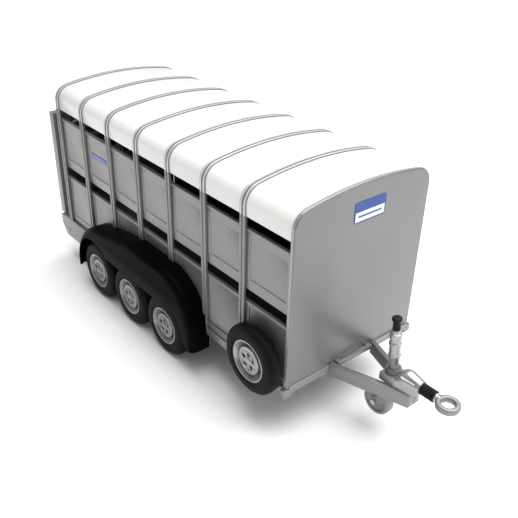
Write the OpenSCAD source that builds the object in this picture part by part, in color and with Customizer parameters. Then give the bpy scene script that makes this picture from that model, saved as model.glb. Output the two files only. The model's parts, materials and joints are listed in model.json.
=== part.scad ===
// Livestock trailer, 1:32 scale model: three axles, slatted box body, white roof, rear ramp,
// drawbar with towing ring and jockey wheel. +X is the towing end, +Y the left side, +Z up.
// Millimetres. The origin lies on the ground, half way between the ramp and the towing ring.

/* [Body] */
// Number of side bays between posts
bay_count = 7; // [6:1:8]
// Distance between neighbouring side posts
bay_pitch = 19.05; // [17:0.05:22.9]
// Width of the body over its side sheets
body_w = 52.8; // [44:0.1:64]
// Thickness of the side sheets, floor and front panel
sheet_t = 1; // [0.8:0.1:1.3]
// Height of the floor's underside above the ground
floor_z = 19.6; // [19.6:0.1:24]
// Height of the lower side sheets
lower_sheet_h = 20.2; // [17:0.1:26]
// Height of the ventilation slots between lower and upper sheets
low_slot_h = 4; // [3:0.1:6]
// Height of the upper side sheets
upper_sheet_h = 20; // [16:0.1:26]
// Height of the ventilation slots under the roof
top_slot_h = 3.6; // [3:0.1:6]
// Width of a side post and of a roof hoop
post_w = 2.5; // [2:0.1:3.2]
// How far the posts stand out of the sheets
post_out = 0.95; // [0.7:0.05:1.2]
// Width of the groove down the middle of each post and hoop
groove_w = 0.7; // [0.4:0.1:0.9]
// Depth of that groove
groove_d = 0.35; // [0.2:0.05:0.5]
// How deep the pressed fields lie in the side sheets
field_d = 0.3; // [0.1:0.05:0.4]
// Margin of a pressed field beside a post
field_margin = 1.4; // [0.8:0.1:2]
// How far the ledge under each slot stands out
ledge_out = 0.4; // [0.2:0.05:0.6]
// Height of that ledge
ledge_h = 0.75; // [0.5:0.05:1]

/* [Roof] */
// Rise of the roof from its lower edge to its crown
roof_rise = 10.5; // [9.5:0.1:14]
// Radius of the roof's side corners
roof_corner_r = 5.5; // [4:0.1:8]
// Radius of the roof's crown
roof_crown_r = 125; // [80:1:200]
// Thickness of the roof skin
roof_t = 0.9; // [0.7:0.1:1.2]
// How far the roof stands out past the side sheets
roof_out = 0.5; // [0.3:0.05:0.7]
// How much thicker the front panel is than the side sheets
front_extra = 0.7; // [0.4:0.1:1.2]

/* [Chassis] */
// Depth of the sill rails under the floor
sill_drop = 3.7; // [3:0.1:4.5]
// Height of the sill rails above the floor's underside
sill_rise = 1.9; // [1.2:0.1:2.5]
// How far the sill rails stand out of the sheets
sill_out = 0.8; // [0.5:0.05:0.9]
// Distance between the chassis rails' webs
rail_gap = 26; // [22:0.5:32]
// Depth of a chassis rail
rail_h = 5; // [4.5:0.1:5.4]
// Width of a chassis rail
rail_w = 2.4; // [2:0.1:3]
// Wall of a chassis rail
rail_wall = 0.8; // [0.6:0.1:1]
// How far the drawbar's crossbar stands in front of the front panel
front_beam_w = 2.6; // [2:0.1:4]
// Radius of a body screw's shank
screw_r = 0.6; // [0.5:0.05:0.8]

/* [Wheels] */
// Radius of a tyre
tyre_r = 11.3; // [10.4:0.1:11.4]
// Width of a tyre
tyre_w = 4.8; // [4:0.1:6]
// Radius of a rim where the tyre sits
rim_r = 6.9; // [6:0.1:7.6]
// Radius of an axle
axle_r = 1; // [0.8:0.05:1.3]
// Radial running clearance of an axle in its bearing
axle_play = 0.06; // [0.03:0.01:0.09]
// Distance between neighbouring axles
wheel_pitch = 23.3; // [23.1:0.1:25]
// Distance from the rear post to the rear axle
rear_axle_x = 31.3; // [30:0.1:34]
// Gap between a side post and the wheel beside it
wheel_gap = 0.4; // [0.35:0.05:1.5]
// Wheel studs on each rim
stud_count = 5; // [4:1:6]

/* [Mudguards] */
// Wall of a mudguard
guard_t = 0.9; // [0.7:0.1:1.1]
// Gap between a tyre's face and a mudguard's skirt
guard_gap = 0.2; // [0.2:0.05:1]
// Radius of a mudguard's rear end
guard_rear_r = 21.5; // [20:0.1:24]
// Radius of a mudguard's front end
guard_front_r = 19.3; // [18:0.1:22]
// Height of a mudguard's top above the wheel centres
guard_top = 23.9; // [22:0.1:26]
// Height of the skirt's lower edge above the wheel centres
skirt_up = 10.1; // [8:0.1:13]
// Radius of the rounding along a mudguard's outer edge
guard_edge_r = 2.4; // [1.5:0.1:2.6]

/* [Ramp and gates] */
// Thickness of the ramp's frame
ramp_t = 3.6; // [3:0.1:4.5]
// Width of the ramp
ramp_w = 53.2; // [44:0.1:62]
// Height of the ramp above its hinge
ramp_h = 42.9; // [36:0.1:50]
// Width of the ramp frame's bars
ramp_bar = 2.4; // [1.8:0.1:3.5]
// Depth of the rear uprights behind the rear posts
upright_d = 4.8; // [4.6:0.1:6]
// Width of a rear upright
upright_w = 3.2; // [2.4:0.1:4]
// Gap between the closed ramp and the rear uprights
ramp_gap = 0.3; // [0.2:0.1:0.6]
// Outer radius of the ramp's hinge barrels
barrel_r = 1; // [0.9:0.05:1.15]
// Radius of the ramp's hinge rod
hinge_rod_r = 0.5; // [0.4:0.05:0.6]
// Radial clearance of hinge pins
hinge_play = 0.06; // [0.03:0.01:0.09]
// Tread battens on the ramp
tread_count = 9; // [6:1:11]
// Height of a gate
gate_h = 38.5; // [30:0.1:42]
// Thickness of a gate's frame
gate_t = 1.2; // [1:0.1:1.4]
// Radius of a gate's hinge pin
gate_pin_r = 0.45; // [0.4:0.05:0.55]

/* [Drawbar and coupling] */
// Length of the drawbar in front of the front panel
drawbar_len = 26; // [22:0.1:32]
// Half width of the drawbar at its root
drawbar_half = 10.2; // [7:0.1:12]
// Half width of the drawbar at its tip
tip_half = 2.5; // [1.9:0.05:3]
// Height of the drawbar's top above the floor's underside
drawbar_up = 0.8; // [0.3:0.1:1.2]
// Thickness of a drawbar beam
beam_t = 1.65; // [1.3:0.05:1.7]
// Distance from the drawbar's tip to the towing ring's centre
ring_reach = 11; // [10:0.1:14]
// Height of the coupling's axis above the floor's underside
coupling_up = 4; // [3.8:0.1:5]
// Outer radius of the towing ring
ring_r = 3.6; // [3.3:0.1:5]
// Radius of the hole in the towing ring
eye_r = 1.95; // [1.6:0.05:2.2]
// Thickness of the towing ring
ring_t = 2.1; // [1.4:0.1:2.4]
// Radius of the rubber bellows
bellows_r = 1.75; // [1.6:0.05:2.2]

/* [Jockey wheel] */
// Distance from the front panel to the jockey column
jockey_reach = 17.7; // [16.5:0.1:18.5]
// How far the column leans back, in degrees
jockey_lean = 4.5; // [0:0.5:5]
// Radius of the jockey column
column_r = 1.6; // [1.4:0.05:1.8]
// Radial clearance of the column in its clamp
column_play = 0.06; // [0.03:0.01:0.09]
// Height of the column's tube above the floor's underside
column_up = 18; // [17:0.1:22]
// Length of the handle grip
grip_l = 4.2; // [3:0.1:6]
// Radius of the jockey wheel
jockey_r = 4.9; // [4.2:0.1:5.2]
// Width of the jockey wheel
jockey_w = 3.4; // [2.4:0.1:3.8]
// How far the jockey wheel trails behind its column
jockey_trail = 4.8; // [4.2:0.1:5.5]

/* [Hidden] */
$fn = 48;

// Widths and heights of the body
half_w = body_w / 2;
post_half = half_w + post_out;
inner_half = half_w - sheet_t;
sill_z = floor_z - sill_drop;
low_slot_z = floor_z + lower_sheet_h;
upper_z = low_slot_z + low_slot_h;
top_slot_z = upper_z + upper_sheet_h;
edge_z = top_slot_z + top_slot_h;
step_h = 2.8;

// Lengths, counted from the middle of the rear posts
body_l = bay_count * bay_pitch;
rear_lap = 1.5;
body_x0 = -rear_lap;
panel_x = body_l + rear_lap + 0.25;
sheet_x1 = panel_x - sheet_t;
face_x = panel_x + front_extra;
front_x = face_x + 0.35;
front_beam_x1 = panel_x + front_beam_w;
tip_x = panel_x + drawbar_len;
ring_x = tip_x + ring_reach;
upright_x0 = body_x0 - upright_d;
ramp_x1 = upright_x0 - ramp_gap;
ramp_x0 = ramp_x1 - ramp_t;
mid_x = (ramp_x0 + ring_x + ring_r) / 2;

// Roof arch: a crown arc that runs smoothly into two corner arcs
roof_half = half_w + roof_out;
hoop_out = post_half - roof_half;
crown_z = edge_z + roof_rise;
crown_cz = crown_z - roof_crown_r;
corner_y = roof_half - roof_corner_r;
corner_reach = roof_crown_r - roof_corner_r;
corner_z = crown_cz + sqrt(pow(corner_reach, 2) - pow(corner_y, 2));
crown_a = asin(corner_y / corner_reach);

// Wheels and mudguards
wheel_z = tyre_r;
wheel_in = post_half + wheel_gap;
wheel_out = wheel_in + tyre_w;
front_axle_x = rear_axle_x + 2 * wheel_pitch;
rim_depth = 1.1;
spare_x = body_l - bay_pitch / 2;
spare_z = floor_z + 4.95;
guard_out = wheel_out + guard_gap + guard_t;
guard_rear_cx = rear_axle_x + 6.3;
guard_rear_cz = wheel_z - 1.5;
guard_front_cx = front_axle_x - 0.7;
guard_front_cz = wheel_z + 4.5;
guard_top_z = wheel_z + guard_top;
guard_mid_r = 20;
guard_mid_x = (rear_axle_x + front_axle_x) / 2 + 5.4;
guard_rear_low = wheel_z - 3.1;
guard_front_low = wheel_z - 0.7;
skirt_z = wheel_z + skirt_up;

// Ramp hinge and gates
hinge_x = ramp_x0 + barrel_r;
hinge_z = floor_z + 1.1;
ramp_z0 = hinge_z + barrel_r + 0.3;
ramp_z1 = hinge_z + ramp_h;
foot_z = hinge_z - 0.9;
lug_y = [16.1, 17.4];
lug_mid = 0.9;
lug_side_gap = 0.4;
portal_top = edge_z - 1.4;
gate_x = body_x0 - upright_d / 2;
gate_y = inner_half - upright_w - 1;
gate_z0 = floor_z + sheet_t + 0.9;
gate_z1 = gate_z0 + gate_h;
gate_lug_r = 1.15;
gate_lug_h = 1.6;
gate_lugs = [gate_z0 + 5, gate_z1 - 8];
gate_slit = 0.2;

// Coupling and jockey wheel
coupling_z = floor_z + coupling_up;
jockey_x = panel_x + jockey_reach;
deck_z = floor_z + drawbar_up;
clamp_x0 = jockey_x - 2.8;
clamp_x1 = jockey_x + 2.3;
clamp_half = 3.2;
clamp_h = 3.3;
collar_up = 5.1;
head_x1 = tip_x + 2.1;
collar_x0 = ring_x - ring_r - 0.5;
shank_r = 1.1;
column_low = -4.3;
fork_top = -4.45;
fork_axle_z = -9.4;
fork_leg_y = jockey_w / 2 + 0.15;
fork_leg_t = 0.75;
swivel_r = 0.8;
jockey_pin_r = 0.55;

// Rear light housings hang below the floor's corners
housing_y0 = 19;
housing_low = floor_z - 9.4;
housing_x1 = rear_axle_x - 16.3;
plate_half = half_w + sill_out;

function arc(cx, cy, r, from, to, steps) =
    [for (i = [0:steps]) let (a = from + (to - from) * i / steps) [cx + r * cos(a), cy + r * sin(a)]];
function post_x(i) = i * bay_pitch;
function bay(i) = [post_x(i) + post_w / 2, i == bay_count - 1 ? sheet_x1 : post_x(i + 1) - post_w / 2];
function inset(span, d) = [span[0] + d, span[1] - d];

// Arch of the roof, grown outwards by g, from its left lower edge over to its right one
function arch(g) = concat(
    [[roof_half + g, edge_z]],
    arc(corner_y, corner_z, roof_corner_r + g, 0, 90 - crown_a, 10),
    arc(0, crown_cz, roof_crown_r + g, 90 - crown_a, 90 + crown_a, 14),
    arc(-corner_y, corner_z, roof_corner_r + g, 90 + crown_a, 180, 10),
    [[-roof_half - g, edge_z]]
);

// Front of the body: the arch on two straight sides at half width w
function front_line(w, g) = concat([[w, floor_z]], [[w, edge_z]], arch(g), [[-w, edge_z]], [[-w, floor_z]]);

// Side outline of a mudguard, drawn in by d and cut off at the bottom, or dropped below it
function guard_line(d, drop) = concat(
    [[guard_rear_cx - guard_rear_r + d, guard_rear_low - drop]],
    arc(guard_rear_cx, guard_rear_cz, guard_rear_r - d, 180, 100, 14),
    arc(guard_mid_x, guard_top_z - guard_mid_r, guard_mid_r - d, 102, 88, 3),
    arc(guard_front_cx, guard_front_cz, guard_front_r - d, 88, 0, 14),
    [[guard_front_cx + guard_front_r - d, guard_front_low - drop]]
);

// Rounded rectangle from low corner a to high corner b, with its two upper corners round
function arched(a, b, r) = concat(
    [[a[0], a[1]], [b[0], a[1]]],
    arc(b[0] - r, b[1] - r, r, 0, 90, 6),
    arc(a[0] + r, b[1] - r, r, 90, 180, 6)
);

// Boxes and extrusions
module placed() translate([-mid_x, 0, 0]) children();
module box(x, y, z) translate([x[0], y[0], z[0]]) cube([x[1] - x[0], y[1] - y[0], z[1] - z[0]]);
module along_x(x) translate([x[0], 0, 0]) rotate([90, 0, 90]) linear_extrude(x[1] - x[0]) children();
module along_y(y) translate([0, y[1], 0]) rotate([90, 0, 0]) linear_extrude(y[1] - y[0]) children();
module rod_y(x, z, r, y) translate([x, y[1], z]) rotate([90, 0, 0]) cylinder(r = r, h = y[1] - y[0]);
module on_side(side) {
    if (side < 0) mirror([0, 1, 0]) children();
    else children();
}
module both_sides() {
    children();
    mirror([0, 1, 0]) children();
}
module leaned() translate([jockey_x, 0, floor_z]) rotate([0, -jockey_lean, 0]) children();

// Body sheets -----------------------------------------------------------------
module side_sheet(z0, z1, field_low, field_high) {
    difference() {
        box([body_x0, sheet_x1], [inner_half, half_w], [z0, z1]);
        for (i = [0:bay_count - 1])
            box(inset(bay(i), field_margin), [half_w - field_d, half_w + 1], [z0 + field_low, z1 - field_high]);
    }
    for (i = [0:bay_count - 1]) box(bay(i), [half_w, half_w + ledge_out], [z1 - ledge_h, z1]);
}
module lower_sheet(side)
    color("silver") placed() on_side(side)
        side_sheet(floor_z, low_slot_z, sill_rise + 0.9, ledge_h + 0.9);
module upper_sheet(side)
    color("silver") placed() on_side(side) side_sheet(upper_z, top_slot_z, 3.6, 3.5);

module floor_plate()
    color("gray") placed() difference() {
        box([body_x0, sheet_x1], [-inner_half, inner_half], [floor_z, floor_z + sheet_t]);
        screw_holes();
    }

// Posts: one under each roof hoop, grooved down the middle
function post_low(i) = i == 0 ? floor_z : sill_z;
module side_posts(side)
    color("silver") placed() on_side(side) for (i = [0:bay_count - 1]) difference() {
        box([post_x(i) - post_w / 2, post_x(i) + post_w / 2], [half_w, post_half], [post_low(i), edge_z]);
        box([post_x(i) - groove_w / 2, post_x(i) + groove_w / 2],
            [post_half - groove_d, post_half + 1], [sill_z - 1, edge_z + 1]);
    }
module post_notches()
    for (i = [0:bay_count - 1])
        box([post_x(i) - post_w / 2, post_x(i) + post_w / 2], [half_w - 1, post_half], [post_low(i), edge_z]);

// Sill rail: a channel below the sheets, with a lip above its groove
module sill_line()
    polygon([
        [inner_half, sill_z], [plate_half, sill_z], [plate_half, sill_z + step_h],
        [half_w + 0.1, sill_z + step_h], [half_w + 0.1, floor_z + sill_rise - 0.5],
        [plate_half, floor_z + sill_rise - 0.5], [plate_half, floor_z + sill_rise],
        [half_w, floor_z + sill_rise], [half_w, floor_z], [inner_half, floor_z]
    ]);
module sill_rail(side)
    color("silver") placed() on_side(side) difference() {
        along_x([housing_x1, sheet_x1]) sill_line();
        post_notches();
    }

// Roof ------------------------------------------------------------------------
module arch_band(x, g0, g1)
    along_x(x) difference() {
        polygon(arch(g1));
        polygon(concat([[roof_half + g0, edge_z - 1]], arch(g0), [[-roof_half - g0, edge_z - 1]]));
    }
module roof_skin() color("white") placed() arch_band([body_x0, sheet_x1], -roof_t, 0);
module roof_hoops()
    color("silver") placed() for (i = [0:bay_count - 1]) {
        arch_band([post_x(i) - post_w / 2, post_x(i) - groove_w / 2], 0, hoop_out);
        arch_band([post_x(i) - groove_w / 2, post_x(i) + groove_w / 2], 0, hoop_out * 0.45);
        arch_band([post_x(i) + groove_w / 2, post_x(i) + post_w / 2], 0, hoop_out);
    }
module front_panel() color("silver") placed() along_x([sheet_x1, face_x]) polygon(front_line(half_w, 0));
module front_trim()
    color("silver") placed() {
        along_x([sheet_x1, face_x]) difference() {
            polygon(front_line(post_half, hoop_out));
            polygon(concat([[half_w, floor_z - 1]], front_line(half_w, 0), [[-half_w, floor_z - 1]]));
        }
        both_sides() box([sheet_x1, face_x], [half_w, post_half], [sill_z + step_h, edge_z]);
    }

// Plain stickers
label_w = 12.8;
label_h = 6.5;
label_t = 0.12;
label_y = 1.1;
label_z = edge_z + 2.2;
side_label_z = upper_z + 12;
module front_label()
    color("steelblue") placed() box([face_x, face_x + label_t],
        [label_y - label_w / 2, label_y + label_w / 2], [label_z - label_h / 2, label_z + label_h / 2]);
module side_labels()
    color("steelblue") placed() both_sides() box([post_x(1) + 3.9, post_x(2) - 4.6],
        [half_w - field_d, half_w - field_d + label_t], [side_label_z - 0.9, side_label_z + 0.9]);

// Rear end ----------------------------------------------------------------------
module rear_portal()
    color("dimgray") placed() {
        both_sides() {
            box([upright_x0, body_x0], [inner_half - upright_w, inner_half], [floor_z, portal_top]);
            for (z = gate_lugs) difference() {
                union() {
                    translate([gate_x, gate_y, z]) cylinder(r = gate_lug_r, h = gate_lug_h);
                    box([gate_x - gate_lug_r, gate_x + gate_lug_r], [gate_y, inner_half - upright_w],
                        [z, z + gate_lug_h]);
                }
                translate([gate_x, gate_y, z - 1]) cylinder(r = gate_pin_r + hinge_play, h = gate_lug_h + 2);
            }
        }
        box([upright_x0, body_x0], [upright_w - inner_half, inner_half - upright_w],
            [floor_z, floor_z + sheet_t]);
    }
module hinge_lug(y)
    difference() {
        union() {
            rod_y(hinge_x, hinge_z, barrel_r, y);
            box([hinge_x, hinge_x + 1.8], y, [floor_z - 0.2, hinge_z]);
        }
        rod_y(hinge_x, hinge_z, hinge_rod_r, inset(y, -1));
    }
module rear_beam()
    color("darkgray") placed() {
        along_y([-housing_y0, housing_y0]) polygon([
            [hinge_x + 0.2, floor_z - 0.2], [hinge_x + 0.2, floor_z - 2.6], [upright_x0 - 0.1, floor_z - 5.4],
            [body_x0 - 0.3, floor_z - 5.4], [body_x0 - 0.3, floor_z], [upright_x0, floor_z],
            [upright_x0, floor_z - 0.2]
        ]);
        hinge_lug([-lug_mid, lug_mid]);
        both_sides() hinge_lug(lug_y);
    }
module ramp_hinge_rod()
    color("silver") placed() rod_y(hinge_x, hinge_z, hinge_rod_r, [-22.4, 22.4]);
module rear_housing(side)
    color("darkgray") placed() on_side(side) {
        along_y([housing_y0, plate_half]) polygon([
            [hinge_x - 0.3, floor_z - 0.7], [hinge_x - 0.3, floor_z - 5], [upright_x0 + 0.7, housing_low],
            [body_x0 - 0.3, housing_low], [body_x0 - 0.3, floor_z - 0.3], [upright_x0, floor_z - 0.3],
            [upright_x0, floor_z - 0.7]
        ]);
        box([body_x0 - 0.3, housing_x1], [half_w - 0.5, plate_half], [housing_low, floor_z - 0.3]);
    }
module rear_lamps()
    color("darkred") placed() both_sides() box([hinge_x - 0.6, hinge_x - 0.3],
        [housing_y0 + 1, plate_half - 0.8], [floor_z - 4.2, floor_z - 1.6]);
module side_markers()
    color("white") placed() both_sides()
        rod_y(body_x0 - 2.2, housing_low + 3, 0.55, [plate_half, plate_half + 0.3]);

// Chassis -------------------------------------------------------------------------
screw_posts = [2, bay_count - 2];
screw_y = (rail_gap / 2 + rail_w + inner_half) / 2;
beam_h = 2.4;
module screw_holes()
    both_sides() for (i = screw_posts)
        translate([post_x(i), screw_y, floor_z - beam_h - 1]) cylinder(r = screw_r, h = beam_h + 1.5);
module chassis_rails()
    color("darkgray") placed() both_sides() difference() {
        box([body_x0 - 0.3, sheet_x1], [rail_gap / 2, rail_gap / 2 + rail_w], [floor_z - rail_h, floor_z]);
        box([body_x0 - 1, sheet_x1 + 1], [rail_gap / 2 + rail_wall, rail_gap / 2 + rail_w + 1],
            [floor_z - rail_h + rail_wall, floor_z - beam_h - rail_wall]);
    }
module crossmembers()
    color("darkgray") placed() difference() {
        for (i = [1:bay_count - 1]) {
            x = [post_x(i) - 1.2, post_x(i) + 1.2];
            z = [floor_z - beam_h, floor_z];
            box(x, [-rail_gap / 2, rail_gap / 2], z);
            both_sides() box(x, [rail_gap / 2 + rail_w, inner_half], z);
        }
        screw_holes();
    }
crossbar_half = drawbar_half - beam_t - 1.1;
module front_crossmember()
    color("silver") placed() {
        box([sheet_x1, front_x], [-half_w, half_w], [floor_z - 2.6, floor_z]);
        both_sides() box([sheet_x1, front_x], [inner_half, post_half + 0.95], [sill_z, sill_z + step_h]);
        box([face_x + 0.9, front_beam_x1], [-crossbar_half, crossbar_half], [deck_z - 1, deck_z]);
        both_sides() box([face_x, front_beam_x1], [crossbar_half - 1.6, crossbar_half], [deck_z - 1, deck_z]);
    }
module body_screws()
    color("silver") placed() both_sides() for (i = screw_posts) translate([post_x(i), screw_y, 0]) {
        translate([0, 0, floor_z - beam_h - 0.8]) cylinder(r = 2 * screw_r, h = 0.8);
        translate([0, 0, floor_z - beam_h - 0.8]) cylinder(r = screw_r, h = beam_h + 1.3);
    }
module axle_blocks()
    color("darkgray") placed() both_sides() for (i = [0:2]) difference() {
        box([rear_axle_x + i * wheel_pitch - 2.2, rear_axle_x + i * wheel_pitch + 2.2],
            [rail_gap / 2, rail_gap / 2 + rail_w], [wheel_z - 2.4, floor_z - rail_h]);
        rod_y(rear_axle_x + i * wheel_pitch, wheel_z, axle_r + axle_play, [rail_gap / 2 - 1, rail_gap]);
    }

// Mudguard: a rounded shell over three wheels, open below, with a skirt cut round the tyres
module guard_solid(d, out, edge, drop)
    hull() {
        along_y([half_w - (drop > 0 ? 1 : 0), out - edge]) polygon(guard_line(d, drop));
        for (a = [30, 60, 90]) let (y = out - edge + edge * sin(a))
            along_y([y - 0.01, y]) polygon(guard_line(d + edge * (1 - cos(a)), drop));
    }
module skirt_window()
    polygon(concat(
        arc(rear_axle_x, wheel_z, tyre_r + 2.4, 205, asin(skirt_up / (tyre_r + 2.4)), 16),
        arc(front_axle_x, wheel_z, tyre_r + 1.9, asin(skirt_up / (tyre_r + 1.9)), 10, 6),
        [[guard_front_cx + guard_front_r - 2.6, guard_front_low],
            [guard_front_cx + guard_front_r - 2.6, -1], [rear_axle_x - 12.4, -1]]
    ));
module mudguard(side)
    color("dimgray") placed() on_side(side) difference() {
        guard_solid(0, guard_out, guard_edge_r, 0);
        guard_solid(guard_t, guard_out - guard_t, guard_edge_r - guard_t, 3);
        along_y([wheel_in, guard_out + 1]) skirt_window();
        post_notches();
        along_x([housing_x1, sheet_x1]) hull() sill_line();
    }

// Wheels ----------------------------------------------------------------------------
// Both are turned about Z with their outer face at z = 0
module rim() {
    rotate_extrude() polygon([
        [axle_r, 0.2 - tyre_w], [axle_r, -rim_depth], [0, -rim_depth], [0, -0.15], [0.9, -0.15],
        [1.3, -0.35], [1.3, -0.8], [1.9, -0.8], [2.1, -0.5], [rim_r - 2.6, -0.5], [rim_r - 2.3, -1.3],
        [rim_r - 1.3, -1.4], [rim_r - 0.6, -0.2], [rim_r, -0.1], [rim_r, 0.2 - tyre_w],
        [rim_r - 0.8, 0.2 - tyre_w], [rim_r - 0.8, -2.3], [2.2, -2], [2.2, 0.2 - tyre_w]
    ]);
    for (i = [0:stud_count - 1]) rotate([0, 0, 360 * i / stud_count])
        translate([3.15, 0, -0.6]) cylinder(r = 0.4, h = 0.4);
}
module tyre()
    rotate_extrude() polygon([
        [rim_r, -0.4], [rim_r + 0.35, -0.1], [rim_r + 1.2, 0], [tyre_r - 1.8, 0], [tyre_r - 0.9, -0.25],
        [tyre_r - 0.25, -0.8], [tyre_r, -1.5], [tyre_r, 1.5 - tyre_w], [tyre_r - 0.25, 0.8 - tyre_w],
        [tyre_r - 0.9, 0.25 - tyre_w], [tyre_r - 1.8, -tyre_w], [rim_r + 1.2, -tyre_w],
        [rim_r + 0.35, 0.1 - tyre_w], [rim_r, 0.4 - tyre_w]
    ]);
module wheel_at(x, z) translate([x, wheel_out, z]) rotate([-90, 0, 0]) children();
module axle(i)
    color("silver") placed()
        rod_y(rear_axle_x + i * wheel_pitch, wheel_z, axle_r, [rim_depth - wheel_out, wheel_out - rim_depth]);
module rims(i) color("silver") placed() both_sides() wheel_at(rear_axle_x + i * wheel_pitch, wheel_z) rim();
module tyres(i) color("dimgray") placed() both_sides() wheel_at(rear_axle_x + i * wheel_pitch, wheel_z) tyre();
module spare_carrier()
    color("silver") placed() on_side(-1) {
        rod_y(spare_x, spare_z, 1.8, [half_w - field_d, wheel_in]);
        rod_y(spare_x, spare_z, axle_r, [half_w, wheel_out - rim_depth]);
    }
module spare_rim() color("silver") placed() on_side(-1) wheel_at(spare_x, spare_z) rim();
module spare_tyre() color("dimgray") placed() on_side(-1) wheel_at(spare_x, spare_z) tyre();

// Ramp ---------------------------------------------------------------------------------
ramp_field_y = [ramp_bar - ramp_w / 2, ramp_w / 2 - ramp_bar];
ramp_field_z = [ramp_z0 + ramp_bar, ramp_z1 - ramp_bar];
barrel_spans = [[lug_mid + lug_side_gap, lug_y[0] - lug_side_gap], [lug_y[1] + lug_side_gap, 22]];
module ramp_frame()
    color("silver") placed() {
        difference() {
            box([ramp_x0, ramp_x1], [-ramp_w / 2, ramp_w / 2], [ramp_z0, ramp_z1]);
            box([ramp_x0 - 1, ramp_x1 + 1], ramp_field_y, ramp_field_z);
        }
        both_sides() along_y([22.8, ramp_w / 2]) polygon([
            [ramp_x0, foot_z], [ramp_x1 - 0.5, foot_z], [ramp_x1, foot_z + 0.6], [ramp_x1, ramp_z0 + 0.1],
            [ramp_x0, ramp_z0 + 0.1]
        ]);
        both_sides() for (y = barrel_spans) difference() {
            union() {
                rod_y(hinge_x, hinge_z, barrel_r, y);
                box([ramp_x0, ramp_x0 + 2 * barrel_r], y, [hinge_z, ramp_z0]);
            }
            rod_y(hinge_x, hinge_z, hinge_rod_r + hinge_play, inset(y, -1));
        }
    }
module ramp_skin()
    color("silver") placed() difference() {
        box([ramp_x0 + 0.4, ramp_x0 + 1.2], ramp_field_y, ramp_field_z);
        for (i = [-1:1]) let (w = (ramp_field_y[1] - ramp_field_y[0]) / 3)
            box([ramp_x0, ramp_x0 + 0.4 + field_d], [(i - 0.5) * w + 1, (i + 0.5) * w - 1], inset(ramp_field_z, 1.5));
    }
module ramp_board() color("tan") placed() box([ramp_x1 - 1.4, ramp_x1], ramp_field_y, ramp_field_z);
module ramp_treads()
    color("silver") placed() for (i = [0:tread_count - 1])
        let (z = ramp_field_z[0] + (i + 0.5) * (ramp_field_z[1] - ramp_field_z[0]) / tread_count)
            box([ramp_x1, ramp_x1 + 0.7], [3 - gate_y, gate_y - 3], [z - 0.45, z + 0.45]);

// Gates: a frame with rounded top corners, bars above and a sheet below, on two pins -------
module gate_shape(d)
    polygon(arched([gate_slit + d, gate_z0 + d], [gate_y + gate_t / 2 - d, gate_z1 - d], 3.4 - d));
module gate(side)
    color("silver") placed() on_side(side) {
        difference() {
            union() {
                along_x([gate_x - gate_t / 2, gate_x + gate_t / 2]) difference() {
                    gate_shape(0);
                    gate_shape(gate_t);
                }
                for (i = [1:5]) let (z = gate_z0 + gate_h * (0.42 + 0.1 * i) - 0.4)
                    box([gate_x - 0.4, gate_x + 0.4], [gate_slit + 0.6, gate_y], [z, z + 0.8]);
                box([gate_x - 0.25, gate_x + 0.25], [gate_slit + 0.6, gate_y],
                    [gate_z0 + 0.6, gate_z0 + gate_h * 0.52]);
            }
            for (z = gate_lugs) box([gate_x - 1, gate_x + 1], [gate_y - gate_lug_r - 0.3, gate_y + 2],
                [z - 0.2, z + gate_lug_h + 0.2]);
        }
        for (z = gate_lugs) translate([gate_x, gate_y, z - 0.4]) cylinder(r = gate_pin_r, h = gate_lug_h + 0.8);
    }

// Drawbar and coupling -------------------------------------------------------------------
module drawbar_beam(side)
    color("silver") placed() on_side(side) translate([0, 0, sill_z])
        linear_extrude(deck_z - sill_z) polygon([
            [front_x, drawbar_half], [tip_x, tip_half], [tip_x, 0], [front_x, drawbar_half - beam_t]
        ]);
module coupling_head()
    color("lightgray") placed() difference() {
        hull() {
            box([clamp_x1, clamp_x1 + 0.2], [-clamp_half, clamp_half], [deck_z, floor_z + clamp_h]);
            box([clamp_x1, tip_x], [-2.3, 2.3], [deck_z, deck_z + 2.2]);
            translate([clamp_x1 + 3.15, 0, coupling_z]) sphere(r = 3.1, $fn = 32);
            translate([head_x1 - 1, 0, coupling_z]) rotate([0, 90, 0]) cylinder(r = 2.1, h = 1, $fn = 32);
        }
        both_sides() hull() {
            translate([clamp_x1 + 2.4, 2.7, coupling_z + 2.4]) sphere(r = 1, $fn = 24);
            translate([head_x1 - 1.6, 2, coupling_z + 1.7]) sphere(r = 0.6, $fn = 24);
        }
        translate([head_x1 - 2, 0, coupling_z]) rotate([0, 90, 0]) cylinder(r = shank_r, h = 3);
    }
bellows_ribs = 5;
bellows_l = collar_x0 - head_x1;
module coupling_bellows()
    color("dimgray") placed() translate([head_x1, 0, coupling_z]) rotate([0, 90, 0]) rotate_extrude()
        polygon(concat([[shank_r, 0]], [for (i = [0:bellows_ribs - 1], k = [0, 0.25, 0.75]) [
            bellows_r - (k == 0 ? 0.35 : 0), bellows_l * (i + k) / bellows_ribs
        ]], [[bellows_r - 0.35, bellows_l], [shank_r, bellows_l]]));
module towing_ring()
    color("lightgray") placed() difference() {
        union() {
            translate([head_x1 - 2, 0, coupling_z]) rotate([0, 90, 0])
                cylinder(r = shank_r, h = collar_x0 - head_x1 + 3.4);
            translate([collar_x0, 0, coupling_z]) rotate([0, 90, 0]) cylinder(r = 1.5, h = 0.9);
            translate([ring_x, 0, coupling_z]) rotate_extrude() polygon([
                [0, -ring_t / 2], [ring_r - 0.5, -ring_t / 2], [ring_r, 0.5 - ring_t / 2],
                [ring_r, ring_t / 2 - 0.5], [ring_r - 0.5, ring_t / 2], [0, ring_t / 2]
            ]);
        }
        translate([ring_x, 0, coupling_z - 3]) cylinder(r = eye_r, h = 6);
    }

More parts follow.
